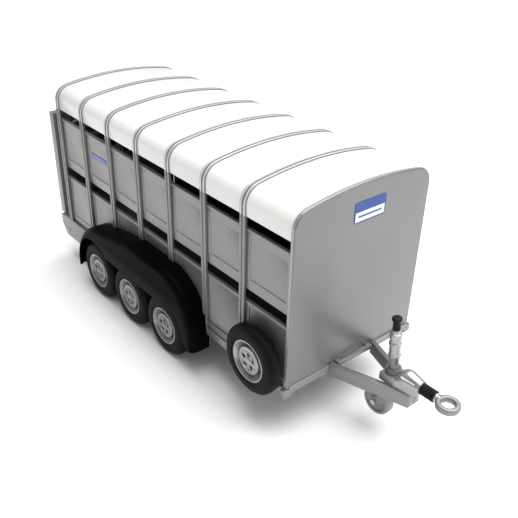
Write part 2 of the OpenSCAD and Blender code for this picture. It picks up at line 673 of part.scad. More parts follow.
// Jockey wheel ---------------------------------------------------------------------------
module jockey_clamp()
    color("silver") placed() difference() {
        union() {
            box([clamp_x0, clamp_x1], [-clamp_half, clamp_half], [deck_z, floor_z + clamp_h]);
            leaned() rotate_extrude() polygon(concat(
                [[0, clamp_h - 1]],
                [for (i = [0:3], k = [0, 1]) [
                    column_r + (k == 0 ? 0.8 : 0.45), clamp_h - 1 + (collar_up - clamp_h + 1) * (i + 0.6 * k) / 4
                ]],
                [[column_r + 0.75, collar_up], [0, collar_up]]
            ));
        }
        leaned() translate([0, 0, -3]) cylinder(r = column_r + column_play, h = 12);
    }
module jockey_column()
    color("silver") placed() leaned() rotate_extrude() polygon([
        [swivel_r + column_play, column_low], [column_r, column_low], [column_r, 9.1], [column_r + 0.25, 9.2],
        [column_r + 0.25, 9.8], [column_r + 0.1, 9.9], [column_r + 0.15, 13.1], [column_r + 0.35, 13.2],
        [column_r + 0.35, 13.7], [column_r + 0.1, 13.8], [column_r + 0.1, 15], [column_r + 0.25, 15.1],
        [column_r + 0.25, 16.6], [column_r - 0.3, 16.8], [column_r - 0.3, column_up], [0, column_up],
        [0, column_low + 2.8], [swivel_r + column_play, column_low + 2.8]
    ]);
module jockey_grip()
    color("dimgray") placed() leaned() rotate_extrude() polygon([
        [0, column_up], [1.15, column_up], [1.05, column_up + grip_l - 1.4], [1.45, column_up + grip_l - 1.1],
        [1.5, column_up + grip_l - 0.4], [1.2, column_up + grip_l], [0, column_up + grip_l]
    ]);
module jockey_fork()
    color("silver") placed() leaned() difference() {
        union() {
            translate([0, 0, fork_top - 0.1]) cylinder(r = swivel_r, h = column_low + 2.5 - fork_top + 0.1);
            box([-1.7, 1.7], [-fork_leg_y - fork_leg_t, fork_leg_y + fork_leg_t], [fork_top - 0.5, fork_top]);
            both_sides() along_y([fork_leg_y, fork_leg_y + fork_leg_t]) union() {
                polygon([
                    [-1.7, fork_top], [1.7, fork_top], [1.7, fork_top - 0.6],
                    [0.75 - jockey_trail, fork_axle_z - 0.8], [-jockey_trail - 0.8, fork_axle_z + 0.75]
                ]);
                translate([-jockey_trail, fork_axle_z]) circle(r = 1.1);
            }
        }
        rod_y(-jockey_trail, fork_axle_z, jockey_pin_r, [-5, 5]);
    }
jockey_pin_half = fork_leg_y + fork_leg_t;
module jockey_axle()
    color("silver") placed() leaned() {
        rod_y(-jockey_trail, fork_axle_z, jockey_pin_r, [-jockey_pin_half, jockey_pin_half]);
        both_sides() rod_y(-jockey_trail, fork_axle_z, jockey_pin_r + 0.3, [jockey_pin_half, jockey_pin_half + 0.4]);
    }
module jockey_wheel()
    color("silver") placed() leaned() translate([-jockey_trail, 0, fork_axle_z]) rotate([90, 0, 0])
        rotate_extrude() let (h = jockey_w / 2, b = jockey_pin_r + hinge_play) polygon([
            [b, -h], [1.6, -h], [1.8, 0.5 - h], [jockey_r - 1.4, 0.5 - h], [jockey_r - 1.2, -h],
            [jockey_r - 0.5, -h], [jockey_r, 0.5 - h], [jockey_r, h - 0.5], [jockey_r - 0.5, h],
            [jockey_r - 1.2, h], [jockey_r - 1.4, h - 0.5], [1.8, h - 0.5], [1.6, h], [b, h]
        ]);

floor_plate();  // floor
lower_sheet(1);  // lower_sheet_left
lower_sheet(-1);  // lower_sheet_right
upper_sheet(1);  // upper_sheet_left
upper_sheet(-1);  // upper_sheet_right
side_posts(1);  // side_posts_left
side_posts(-1);  // side_posts_right
sill_rail(1);  // sill_rail_left
sill_rail(-1);  // sill_rail_right
roof_skin();
roof_hoops();
front_panel();
front_trim();
front_label();
side_labels();
rear_portal();
rear_beam();
ramp_hinge_rod();
rear_housing(1);  // rear_housing_left
rear_housing(-1);  // rear_housing_right
rear_lamps();
side_markers();
chassis_rails();
crossmembers();
front_crossmember();
body_screws();
axle_blocks();
mudguard(1);  // mudguard_left
mudguard(-1);  // mudguard_right
spare_carrier();
spare_rim();
spare_tyre();
drawbar_beam(1);  // drawbar_beam_left
drawbar_beam(-1);  // drawbar_beam_right
coupling_head();
coupling_bellows();
towing_ring();
jockey_clamp();
ramp_frame();
ramp_skin();
ramp_board();
ramp_treads();
gate(1);  // gate_left
gate(-1);  // gate_right
axle(0);  // axle_rear
rims(0);  // rims_rear
tyres(0);  // tyres_rear
axle(1);  // axle_middle
rims(1);  // rims_middle
tyres(1);  // tyres_middle
axle(2);  // axle_front
rims(2);  // rims_front
tyres(2);  // tyres_front
jockey_column();
jockey_grip();
jockey_fork();
jockey_axle();
jockey_wheel();
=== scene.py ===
import json
import math

import bpy
from mathutils import Matrix, Vector

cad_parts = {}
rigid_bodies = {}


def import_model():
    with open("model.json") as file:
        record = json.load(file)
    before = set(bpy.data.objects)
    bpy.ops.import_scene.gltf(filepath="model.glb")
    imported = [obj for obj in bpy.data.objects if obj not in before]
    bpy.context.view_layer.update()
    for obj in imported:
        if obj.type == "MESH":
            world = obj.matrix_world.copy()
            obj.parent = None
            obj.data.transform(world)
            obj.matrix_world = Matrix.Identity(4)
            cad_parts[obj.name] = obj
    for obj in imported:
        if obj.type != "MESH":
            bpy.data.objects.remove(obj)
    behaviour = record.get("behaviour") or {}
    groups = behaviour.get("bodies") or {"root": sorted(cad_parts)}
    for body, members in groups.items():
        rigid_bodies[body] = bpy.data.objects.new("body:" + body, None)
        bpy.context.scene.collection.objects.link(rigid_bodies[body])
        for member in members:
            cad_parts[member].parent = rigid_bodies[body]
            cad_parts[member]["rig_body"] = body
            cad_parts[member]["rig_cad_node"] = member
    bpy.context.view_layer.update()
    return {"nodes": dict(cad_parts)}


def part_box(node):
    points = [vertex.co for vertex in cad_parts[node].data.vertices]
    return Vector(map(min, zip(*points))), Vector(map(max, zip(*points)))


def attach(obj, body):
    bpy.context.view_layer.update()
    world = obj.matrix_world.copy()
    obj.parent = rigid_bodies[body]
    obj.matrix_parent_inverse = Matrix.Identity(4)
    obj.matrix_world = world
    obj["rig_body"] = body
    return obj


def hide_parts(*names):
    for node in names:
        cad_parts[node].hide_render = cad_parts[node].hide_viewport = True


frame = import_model()
nodes = frame["nodes"]
mm = 0.001
rear_post_x = -82.75 * mm  # middle of the rearmost side posts; sizes below are counted from there


# Studio ------------------------------------------------------------------------------------
# A pale table under a big soft box, with a weaker one in front of the trailer. The camera stands
# high at the trailer's front right corner.
camera_place = Vector((0.165056, -0.135176, 0.153585))
camera_yaw, camera_pitch, camera_roll = 2.433, -0.528, 0.028
ahead = Vector((math.cos(camera_yaw) * math.cos(camera_pitch),
                math.sin(camera_yaw) * math.cos(camera_pitch), math.sin(camera_pitch)))
level = ahead.cross(Vector((0, 0, 1))).normalized()
upward = level.cross(ahead)
right = level * math.cos(camera_roll) + upward * math.sin(camera_roll)
upward = upward * math.cos(camera_roll) - level * math.sin(camera_roll)
camera_data = bpy.data.cameras.new("studio_camera")
camera_data.sensor_width = 36.0
camera_data.lens = 48.03
camera_data.clip_start = 0.01
camera = bpy.data.objects.new("studio_camera", camera_data)
camera.matrix_world = Matrix.Translation(camera_place) @ Matrix(
    (right, upward, -ahead)).transposed().to_4x4()
bpy.context.scene.collection.objects.link(camera)
bpy.context.scene.camera = camera
bpy.context.scene.view_settings.view_transform = "Standard"


class Finish:
    """One socket of a finish. Sums written on it add the Math nodes that work them out."""

    def __init__(self, tree, socket=None):
        self.tree, self.socket = tree, socket

    def node(self, kind, settings=None, inputs=None, output=0):
        made = self.tree.nodes.new(kind)
        for name, value in (settings or {}).items():
            if name == "stops":
                ramp = made.color_ramp
                while len(ramp.elements) < len(value):
                    ramp.elements.new(1.0)
                for element, (place, colour) in zip(ramp.elements, value):
                    element.position, element.color = place, (*colour, 1.0)
            else:
                setattr(made, name, value)
        for name, value in (inputs or {}).items():
            if isinstance(value, Finish):
                self.tree.links.new(value.socket, made.inputs[name])
            else:
                made.inputs[name].default_value = value
        return Finish(self.tree, made.outputs[output])

    def math(self, operation, *values):
        return self.node("ShaderNodeMath", {"operation": operation}, dict(enumerate(values)))

    def __add__(self, other):
        return self.math("ADD", self, other)

    def __sub__(self, other):
        return self.math("SUBTRACT", self, other)

    def __rsub__(self, other):
        return self.math("SUBTRACT", other, self)

    def __mul__(self, other):
        return self.math("MULTIPLY", self, other)

    def __gt__(self, other):
        return self.math("GREATER_THAN", self, other)

    def __lt__(self, other):
        return self.math("LESS_THAN", self, other)

    def __abs__(self):
        return self.math("ABSOLUTE", self)

    __radd__, __rmul__ = __add__, __mul__

    def clamped(self, low, high):
        return self.node("ShaderNodeMapRange", None,
                         {"Value": self, "From Min": low, "From Max": high})

    def noise(self, scale, detail=3.0, stretch=(1, 1, 1)):
        place = self.node("ShaderNodeMapping", None, {"Vector": self, "Scale": stretch})
        return self.node("ShaderNodeTexNoise", None,
                         {"Vector": place, "Scale": scale, "Detail": detail, "Roughness": 0.55})

    def blend(self, first, second):
        """first where this mask is 0, second where it is 1; both are colours"""
        mix = self.tree.nodes.new("ShaderNodeMix")
        mix.data_type = "RGBA"
        self.tree.links.new(self.socket, mix.inputs["Factor"])
        for value, entry in ((first, mix.inputs[6]), (second, mix.inputs[7])):
            if isinstance(value, Finish):
                self.tree.links.new(value.socket, entry)
            else:
                entry.default_value = (*value, 1.0)
        return Finish(self.tree, mix.outputs[2])


def new_finish(name, **constants):
    """an empty finish: its material, its shader, and the place on the piece"""
    material = bpy.data.materials.new(name)
    material.use_nodes = True
    shader = material.node_tree.nodes["Principled BSDF"]
    for socket, value in constants.items():
        shader.inputs[socket.replace("_", " ")].default_value = value
    start = Finish(material.node_tree)
    return material, shader, start.node("ShaderNodeTexCoord", output=3)


def paint_on(shader, **values):
    for socket, value in values.items():
        value.tree.links.new(value.socket, shader.inputs[socket.replace("_", " ")])


def axes_of(place):
    parts = place.node("ShaderNodeSeparateXYZ", None, {"Vector": place})
    node = parts.socket.node
    return [Finish(place.tree, node.outputs[i]) for i in range(3)]


def bumped(height, distance, strength=1.0):
    return height.node("ShaderNodeBump", None,
                       {"Height": height, "Distance": distance, "Strength": strength})


table_finish, table_shader, table_place = new_finish("white_table", Roughness=0.75,
                                                     Specular_IOR_Level=0.2)
table_tone = table_place.noise(9.0, 2.0).clamped(0.3, 0.7)
paint_on(table_shader, Base_Color=table_tone.blend((0.86, 0.86, 0.86), (0.9, 0.9, 0.9)))
bpy.ops.object.select_all(action="DESELECT")
bpy.ops.mesh.primitive_plane_add(size=6.0, location=(0, 0, 0))
table = bpy.context.object
table.name = "studio_table"
table.data.materials.append(table_finish)

world = bpy.data.worlds.new("studio")
world.use_nodes = True
world.node_tree.nodes["Background"].inputs["Color"].default_value = (1.0, 1.0, 1.0, 1.0)
world.node_tree.nodes["Background"].inputs["Strength"].default_value = 0.42
bpy.context.scene.world = world


def soft_box(name, place, aim, size, power):
    lamp = bpy.data.lights.new(name, "AREA")
    lamp.shape, lamp.size, lamp.size_y, lamp.energy = "RECTANGLE", size[0], size[1], power
    holder = bpy.data.objects.new(name, lamp)
    holder.location = place
    holder.rotation_euler = (Vector(aim) - Vector(place)).to_track_quat("-Z", "Y").to_euler()
    bpy.context.scene.collection.objects.link(holder)


soft_box("top_box", (0.10, 0.30, 1.20), (0, 0, 0.03), (1.5, 1.5), 34.0)
soft_box("front_box", (1.10, 0.30, 0.50), (0, 0, 0.03), (1.2, 0.8), 4.0)


# Silver paint -------------------------------------------------------------------------------
# Every silver part of the body is a thin casting or pressing under one coat of metallic
# paint: grey flakes, with a slightly uneven tone and gloss.
inner_wall_y = 25.43 * mm
flake_grain, flake_size = 5200.0, 0.02 * mm
paint_dark, paint_light = (0.195, 0.197, 0.193), (0.25, 0.252, 0.247)
# Painted shade: near black, given to the hold's inner faces and the roof's underside, where shade falls.
painted_hold_shade = (0.05, 0.05, 0.052)


def hold_shade_mask(place, floor_z=20.3 * mm, roof_z=77.0 * mm, front_x=51.36 * mm):
    """1 in the hold, whose faces get painted shade instead of the silver paint"""
    x, y, z = axes_of(place)
    return (abs(y) < inner_wall_y) * (z > floor_z) * (z < roof_z) * (x < front_x)


def silver_finish(name, tone=1.0, roughness=0.38, metal=0.5, inside=False):
    material, shader, place = new_finish(name, Metallic=metal, Coat_Weight=0.15, Coat_Roughness=0.3)
    flakes = place.noise(flake_grain, 1.0)
    clouds = place.noise(45.0, 3.0)
    depth = flakes.clamped(0.3, 0.7) * 0.35 + clouds.clamped(0.3, 0.7) * 0.65
    colour = depth.blend(tuple(c * tone for c in paint_dark), tuple(c * tone for c in paint_light))
    gloss = clouds.clamped(0.35, 0.65) * 0.1 + (roughness - 0.05)
    # With inside set, the hold's inner faces get painted shade, near black and rougher.
    if inside:
        hold = hold_shade_mask(place)
        colour = hold.blend(colour, painted_hold_shade)
        gloss = gloss + hold * 0.3
    paint_on(shader, Base_Color=colour, Roughness=gloss,
             Normal=bumped(flakes + place.noise(900.0, 2.0) * 0.8, flake_size, 0.35))
    return material


body_silver = silver_finish("body_silver", inside=True)
rear_silver = silver_finish("rear_silver")
frame_silver = silver_finish("frame_silver", 0.98, 0.42, 0.5)


def softened(node, width, finish, segments=2):
    """a copy of a built part with its sharp edges rounded as paint and casting leave them"""
    built = nodes[node]
    piece = built.copy()
    piece.data = built.data.copy()
    piece.parent = None
    piece.name = node + "_finished"
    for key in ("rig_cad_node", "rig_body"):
        if key in piece:
            del piece[key]
    bpy.context.scene.collection.objects.link(piece)
    bpy.ops.object.select_all(action="DESELECT")
    piece.select_set(True)
    bpy.context.view_layer.objects.active = piece
    piece.data.materials.clear()
    piece.data.materials.append(finish)
    bpy.ops.object.mode_set(mode="EDIT")
    bpy.ops.mesh.select_all(action="SELECT")
    bpy.ops.mesh.remove_doubles(threshold=0.001 * mm)
    bpy.ops.mesh.dissolve_limited(angle_limit=math.radians(1.0))
    bpy.ops.object.mode_set(mode="OBJECT")
    round_edges(piece, width, segments)
    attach(piece, built["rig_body"])
    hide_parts(node)


def round_edges(piece, width, segments=2, angle=32.0):
    bpy.context.view_layer.objects.active = piece
    bevel = piece.modifiers.new("rounding", "BEVEL")
    bevel.width, bevel.segments = width, segments
    bevel.limit_method, bevel.angle_limit = "ANGLE", math.radians(angle)
    bevel.use_clamp_overlap = True
    bpy.ops.object.modifier_apply(modifier=bevel.name)
    smooth(piece)


def smooth(piece, angle=34.0):
    bpy.ops.object.select_all(action="DESELECT")
    piece.select_set(True)
    bpy.context.view_layer.objects.active = piece
    bpy.ops.object.shade_smooth_by_angle(angle=math.radians(angle))


for node, width in (("lower_sheet_left", 0.12), ("lower_sheet_right", 0.12), ("upper_sheet_left", 0.12),
                    ("upper_sheet_right", 0.12), ("side_posts_left", 0.14), ("side_posts_right", 0.14),
                    ("sill_rail_left", 0.15), ("sill_rail_right", 0.15)):
    softened(node, width * mm, body_silver)
for node, width in (("rear_portal", 0.15), ("ramp_frame", 0.2), ("ramp_skin", 0.1), ("gate_left", 0.12),
                    ("gate_right", 0.12)):
    softened(node, width * mm, rear_silver)
for node, width in (("rear_beam", 0.15), ("rear_housing_left", 0.3), ("rear_housing_right", 0.3),
                    ("chassis_rails", 0.15), ("crossmembers", 0.1), ("front_crossmember", 0.2),
                    ("axle_blocks", 0.2), ("drawbar_beam_left", 0.25), ("drawbar_beam_right", 0.25),
                    ("spare_carrier", 0.1)):
    softened(node, width * mm, frame_silver)


# Floor and ramp boards -----------------------------------------------------------------------
# Dark moulded plastic with a fine grain: the hold's floor, the ramp's inner board and its treads.
board_finish, board_shader, board_place = new_finish("board_plastic", Specular_IOR_Level=0.35)
board_grain = board_place.noise(1500.0, 4.0)
board_tone = board_grain.clamped(0.3, 0.7).blend((0.035, 0.035, 0.036), (0.06, 0.06, 0.061))
paint_on(board_shader, Base_Color=board_tone,
         Roughness=board_grain * 0.2 + 0.55, Normal=bumped(board_grain, 0.04 * mm, 0.5))
for node in ("floor", "ramp_board", "ramp_treads"):
    softened(node, 0.12 * mm, board_finish)


# Roof skin -----------------------------------------------------------------------------------
# One white moulding: a flat crown that runs into two rounded sides, ending level over the slots.
roof_edge_z, roof_half_y = 67.4 * mm, 26.9 * mm
side_corner_r, crown_r, roof_rise = 5.5 * mm, 125 * mm, 10.5 * mm
roof_thickness = 0.9 * mm
rear_lap, body_length = 1.5 * mm, 134.1 * mm
roof_x = (rear_post_x - rear_lap, rear_post_x + body_length)
weld = 0.0005 * mm  # corners nearer than this become one


def arc_points(centre, radius, start, end, steps):
    return [(centre[0] + radius * math.cos(math.radians(start + (end - start) * i / steps)),
             centre[1] + radius * math.sin(math.radians(start + (end - start) * i / steps)))
            for i in range(steps + 1)]


def roof_arch(grown=0.0, corner_steps=16, crown_steps=48):
    """points (y, z) over the roof from its left lower edge to its right one"""
    corner_y = roof_half_y - side_corner_r
    crown_z = roof_edge_z + roof_rise - crown_r
    corner_z = crown_z + math.sqrt((crown_r - side_corner_r) ** 2 - corner_y ** 2)
    turn = math.degrees(math.asin(corner_y / (crown_r - side_corner_r)))
    return ([(roof_half_y + grown, roof_edge_z)]
            + arc_points((corner_y, corner_z), side_corner_r + grown, 0, 90 - turn, corner_steps)
            + arc_points((0, crown_z), crown_r + grown, 90 - turn, 90 + turn, crown_steps)[1:-1]
            + arc_points((-corner_y, corner_z), side_corner_r + grown, 90 + turn, 180, corner_steps)
            + [(-roof_half_y - grown, roof_edge_z)])


def draw_line(points):
    """draws a line of edges through points, and stays in edit mode"""
    bpy.ops.object.select_all(action="DESELECT")
    bpy.ops.mesh.primitive_plane_add(size=mm, location=(0, 0, 0))
    piece = bpy.context.object
    bpy.ops.object.mode_set(mode="EDIT")
    bpy.ops.mesh.select_all(action="SELECT")
    bpy.ops.mesh.merge(type="CENTER")
    bpy.ops.transform.translate(value=points[0])
    for near, far in zip(points, points[1:]):
        step = [b - a for a, b in zip(near, far)]
        bpy.ops.mesh.extrude_region_move(TRANSFORM_OT_translate={"value": step})
    return piece


def close_line():
    """fills the drawn outline with one face, which stays selected"""
    bpy.ops.mesh.select_all(action="SELECT")
    bpy.ops.mesh.remove_doubles(threshold=weld)
    bpy.ops.mesh.select_all(action="SELECT")
    bpy.ops.mesh.edge_face_add()


def push_out(step):
    bpy.ops.mesh.extrude_region_move(TRANSFORM_OT_translate={"value": step})


def leave_mesh(piece, name, finish):
    """merges what meets, turns the faces outwards and names the piece"""
    bpy.ops.mesh.select_all(action="SELECT")
    bpy.ops.mesh.remove_doubles(threshold=weld)
    bpy.ops.mesh.normals_make_consistent(inside=False)
    bpy.ops.object.mode_set(mode="OBJECT")
    piece.name = piece.data.name = name
    piece.data.materials.append(finish)
    return piece


def solid_of(name, outline, step, finish):
    """a bar of one cross-section: its closed outline, pushed out by step"""
    piece = draw_line(list(outline) + [outline[0]])
    close_line()
    push_out(step)
    return leave_mesh(piece, name, finish)


white_finish, white_shader, white_place = new_finish("white_roof", Coat_Weight=0.25, Coat_Roughness=0.12)
white_cloud = white_place.noise(30.0, 3.0)
# Painted shade: roof faces that point downwards take the near-black hold colour instead of white.
white_facing = white_place.node("ShaderNodeNewGeometry", output=1)
roof_underside_shade = axes_of(white_facing)[2] < -0.6
white_tone = white_cloud.clamped(0.3, 0.7).blend((0.70, 0.715, 0.69), (0.74, 0.752, 0.73))
paint_on(white_shader, Base_Color=roof_underside_shade.blend(white_tone, painted_hold_shade),
         Roughness=white_cloud * 0.12 + 0.24,
         Normal=bumped(white_place.noise(260.0, 3.0), 0.03 * mm, 0.35))

outer_arch = [(roof_x[0], y, z) for y, z in roof_arch()]
inner_arch = [(roof_x[0], y, z) for y, z in reversed(roof_arch(-roof_thickness))]
roof_skin = solid_of("roof_shell", outer_arch + inner_arch, (roof_x[1] - roof_x[0], 0, 0), white_finish)
round_edges(roof_skin, 0.12 * mm)
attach(roof_skin, "root")
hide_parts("roof_skin")


# Roof hoops ----------------------------------------------------------------------------------
# Silver ribs over the roof, one above each post and grooved like it, cast with the roof
# and picked out in the body's paint.
bay_pitch, hoop_count = 19.05 * mm, 7
hoop_half, hoop_height, groove_half, groove_depth = 1.25 * mm, 0.45 * mm, 0.3 * mm, 0.25 * mm
dark_middle, dark_edge = 0.36 * mm, 1.12 * mm
hoop_silver, hoop_shader, hoop_place = new_finish("hoop_silver", Metallic=0.2, Coat_Weight=0.15)
# Painted shade: the groove down each hoop's middle and the hoop's front and back faces are painted dark grey.
from_first = axes_of(hoop_place)[0] - (rear_post_x - bay_pitch / 2)
across = abs(from_first.math("MODULO", from_first, bay_pitch) - bay_pitch / 2)
hoop_groove_shade = across.math("MAXIMUM", across < dark_middle, across > dark_edge)
hoop_cloud = hoop_place.noise(70.0, 3.0)
hoop_tone = hoop_cloud.clamped(0.3, 0.7).blend((0.48, 0.485, 0.475), (0.58, 0.585, 0.57))
paint_on(hoop_shader, Base_Color=hoop_groove_shade.blend(hoop_tone, (0.2, 0.202, 0.2)),
         Roughness=hoop_cloud * 0.15 + 0.32,
         Normal=bumped(hoop_place.noise(5200.0, 1.0), 0.02 * mm, 0.3))


def pick_faces(piece, test):
    """selects the faces whose middle and normal pass the test, in edit mode"""
    bpy.ops.object.mode_set(mode="OBJECT")
    for face in piece.data.polygons:
        face.select = test(face.center, face.normal)
    bpy.ops.object.mode_set(mode="EDIT")


def face_mode():
    bpy.ops.mesh.select_mode(type="FACE")


hoop_x = rear_post_x
hoop_line = ([(hoop_x - hoop_half, y, z) for y, z in roof_arch(hoop_height)]
             + [(hoop_x - hoop_half, y, z) for y, z in reversed(roof_arch(-0.1 * mm))])
hoop = draw_line(hoop_line + hoop_line[:1])
close_line()
push_out((2 * hoop_half, 0, 0))
bpy.ops.mesh.select_all(action="SELECT")
bpy.ops.mesh.normals_make_consistent(inside=False)
for cut in (hoop_x - groove_half, hoop_x + groove_half):
    bpy.ops.mesh.select_all(action="SELECT")
    bpy.ops.mesh.bisect(plane_co=(cut, 0, 0), plane_no=(1, 0, 0))
face_mode()
pick_faces(hoop, lambda middle, normal: abs(middle.x - hoop_x) < groove_half and normal.z > -0.5
           and normal.y * middle.y + normal.z * (middle.z - roof_edge_z + 8 * mm) > 0)
bpy.ops.mesh.extrude_region_shrink_fatten(TRANSFORM_OT_shrink_fatten={"value": -groove_depth})
bpy.ops.mesh.select_mode(type="VERT")
leave_mesh(hoop, "roof_hoop_1", hoop_silver)
round_edges(hoop, 0.07 * mm)
hoops = [hoop]
for i in range(1, hoop_count):
    copy = hoop.copy()
    copy.data = hoop.data.copy()
    copy.name = copy.data.name = "roof_hoop_%d" % (i + 1)
    bpy.context.scene.collection.objects.link(copy)
    copy.data.transform(Matrix.Translation((i * bay_pitch, 0, 0)))
    hoops.append(copy)
for hoop in hoops:
    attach(hoop, "root")
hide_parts("roof_hoops")


# Front ---------------------------------------------------------------------------------------
# One thick casting closes the body's front: a plain face that runs out over the sheets and the
# roof's edge and is rounded all round; its face and rounded front edge carry a painted highlight.
face_x = 135.8 * mm + rear_post_x
post_half_y, floor_z = 27.35 * mm, 19.6 * mm
front_foot_z, highlight_reach = floor_z - 0.9 * mm, 0.45 * mm
front_silver, front_shader, front_place = new_finish("front_silver", Metallic=0.45, Coat_Weight=0.1,
                                                     Coat_Roughness=0.3)
front_clouds, front_flakes = front_place.noise(38.0, 3.0), front_place.noise(flake_grain, 1.0)
front_x = axes_of(front_place)[0]
front_tone = (front_flakes.clamped(0.3, 0.7) * 0.35 + front_clouds.clamped(0.3, 0.7) * 0.65).blend(
    (0.16, 0.162, 0.161), (0.20, 0.202, 0.2))
# Painted highlight: the casting's front face and the front of its rounding are painted lighter than the band
# behind them.
front_tone = (front_x < face_x - highlight_reach).blend(front_tone, (0.33, 0.332, 0.33))
paint_on(front_shader, Base_Color=front_tone,
         Roughness=front_clouds * 0.12 + 0.32, Normal=bumped(front_flakes + front_clouds, 0.02 * mm, 0.35))


def front_outline(x, side_y, grown):
    """the front's outline from its left foot to its right one"""
    arch = roof_arch(grown)
    return ([(x, side_y, front_foot_z), (x, side_y, roof_edge_z)] + [(x, y, z) for y, z in arch[1:-1]]
            + [(x, -side_y, roof_edge_z), (x, -side_y, front_foot_z)])


front = solid_of("front_casting", front_outline(roof_x[1], post_half_y, hoop_height),
                 (face_x - roof_x[1], 0, 0), front_silver)
round_edges(front, 0.55 * mm, 5)
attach(front, "root")
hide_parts("front_panel", "front_trim")


# Mudguards -----------------------------------------------------------------------------------
# One black moulding a side over all three wheels: a low arch with a rounded outer shoulder and
# a skirt cut away in front of the wheels, clipped to the body's side.
guard_inner_y, guard_outer_y, guard_wall, guard_shoulder = 26.42 * mm, 33.65 * mm, 0.9 * mm, 2.4 * mm
longest_arch_edge, guard_foot_z = 40 * mm, 10.8 * mm
window_reach, window_depth = 5.5 * mm, 7 * mm
guard_finish, guard_shader, guard_place = new_finish("guard_plastic", Specular_IOR_Level=0.015)
guard_grain, guard_cloud = guard_place.noise(2200.0, 2.0), guard_place.noise(60.0, 3.0)
guard_tone = guard_cloud.clamped(0.3, 0.7).blend((0.0012, 0.0012, 0.0015), (0.0026, 0.0027, 0.0034))
paint_on(guard_shader, Base_Color=guard_tone,
         Roughness=guard_cloud * 0.16 + 0.28, Normal=bumped(guard_grain, 0.02 * mm, 0.4))


def at_side(points, y):
    """turns (x, z) in millimetres from the rear posts into places at y"""
    return [(x * mm + rear_post_x, y, z * mm) for x, z in points]


guard_line = ([(16.1, 8.2)] + arc_points((37.6, 9.8), 21.5, 180, 101, 26)
              + arc_points((60.0, 15.2), 20.0, 101, 89, 8) + arc_points((77.2, 15.8), 19.3, 88, 0, 28)
              + [(96.5, 10.6)])
window_line = (arc_points((31.3, 11.3), 13.7, 205, 47.5, 28) + arc_points((77.9, 11.3), 13.2, 49.9, 10, 10)
               + [(93.9, 10.6), (93.9, -1.0), (18.9, -1.0)])


def cut_away(piece, tool):
    """takes the tool's shape out of the piece, and the tool away"""
    bpy.ops.object.select_all(action="DESELECT")
    piece.select_set(True)
    bpy.context.view_layer.objects.active = piece
    cut = piece.modifiers.new("cut", "BOOLEAN")
    cut.operation, cut.solver, cut.object = "DIFFERENCE", "EXACT", tool
    bpy.ops.object.modifier_apply(modifier=cut.name)
    bpy.data.objects.remove(tool)


def mudguard(name, side):
    piece = draw_line(at_side(guard_line + guard_line[:1], side * guard_inner_y))
    close_line()
    push_out((0, side * (guard_outer_y - guard_inner_y), 0))
    bpy.ops.mesh.select_all(action="SELECT")
    bpy.ops.mesh.normals_make_consistent(inside=False)
    bpy.ops.mesh.select_mode(type="EDGE")
    bpy.ops.object.mode_set(mode="OBJECT")
    corners = piece.data.vertices
    for face in piece.data.polygons:
        face.select = False
    for corner in corners:
        corner.select = False
    for edge in piece.data.edges:
        ends = [corners[i].co for i in edge.vertices]
        outer = all(abs(end.y) > guard_outer_y - 0.01 * mm for end in ends)
        underneath = abs(ends[0].x - ends[1].x) > longest_arch_edge
        edge.select = outer and not underneath
    bpy.ops.object.mode_set(mode="EDIT")
    bpy.ops.mesh.bevel(offset=guard_shoulder, segments=7, affect="EDGES", clamp_overlap=True)
    face_mode()
    pick_faces(piece, lambda middle, normal: abs(normal.y) > 0.99 and abs(middle.y) < guard_inner_y + 0.1 * mm
               or normal.z < -0.9 and middle.z < guard_foot_z)
    bpy.ops.mesh.delete(type="FACE")
    bpy.ops.mesh.select_mode(type="VERT")
    leave_mesh(piece, name, guard_finish)
    wall = piece.modifiers.new("wall", "SOLIDIFY")
    wall.thickness, wall.offset, wall.use_even_offset = guard_wall, -1.0, True
    bpy.ops.object.modifier_apply(modifier=wall.name)
    window = solid_of("window", at_side(window_line, side * (guard_outer_y - window_reach)),
                      (0, side * window_depth, 0), guard_finish)
    cut_away(piece, window)
    round_edges(piece, 0.16 * mm, 2, 50.0)
    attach(piece, "root")
    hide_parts("mudguard_" + name.split("_")[1])


mudguard("guard_left", 1)
mudguard("guard_right", -1)


# Tyres ---------------------------------------------------------------------------------------
# Smooth vinyl tyres pressed over the rims: a flat tread, a soft shoulder step and a bead
# that stands a little over the rim's lip.
wheel_face_y = 32.55 * mm
tyre_width = 4.8  # millimetres, as the profiles are
first_axle, spare_place = (31.3, 11.3), (123.825, 24.55)
tyre_finish, tyre_shader, tyre_place = new_finish("tyre_vinyl", Specular_IOR_Level=0.07)
tyre_cloud, tyre_grain = tyre_place.noise(110.0, 4.0), tyre_place.noise(1800.0, 2.0)
tyre_tone = tyre_cloud.clamped(0.3, 0.7).blend((0.0035, 0.0035, 0.0037), (0.007, 0.007, 0.0073))
paint_on(tyre_shader, Base_Color=tyre_tone,
         Roughness=tyre_cloud * 0.22 + 0.40, Normal=bumped(tyre_grain + tyre_cloud * 2.0, 0.025 * mm, 0.4))
tyre_side = [(6.85, -0.55), (7.05, -0.25), (7.5, -0.05), (8.3, 0.0), (9.0, -0.02), (9.25, -0.1), (9.75, -0.14),
             (10.2, -0.3), (10.7, -0.7), (11.08, -1.1), (11.24, -1.35), (11.3, -1.6)]
tyre_profile = tyre_side + [(r, -tyre_width - a) for r, a in reversed(tyre_side)]


def turned(name, profile, place, face_y, side, finish, steps=96):
    """turns (radius, distance outwards from the face) in millimetres about a line along y"""
    centre = (place[0] * mm + rear_post_x, 0.0, place[1] * mm)
    line = [(centre[0], side * (face_y + a * mm), centre[2] + r * mm) for r, a in profile]
    piece = draw_line(line + line[:1])
    bpy.ops.mesh.select_all(action="SELECT")
    bpy.ops.mesh.remove_doubles(threshold=weld)
    bpy.ops.mesh.select_all(action="SELECT")
    bpy.ops.mesh.spin(steps=steps, angle=math.tau, center=centre, axis=(0, 1, 0))
    return leave_mesh(piece, name, finish)


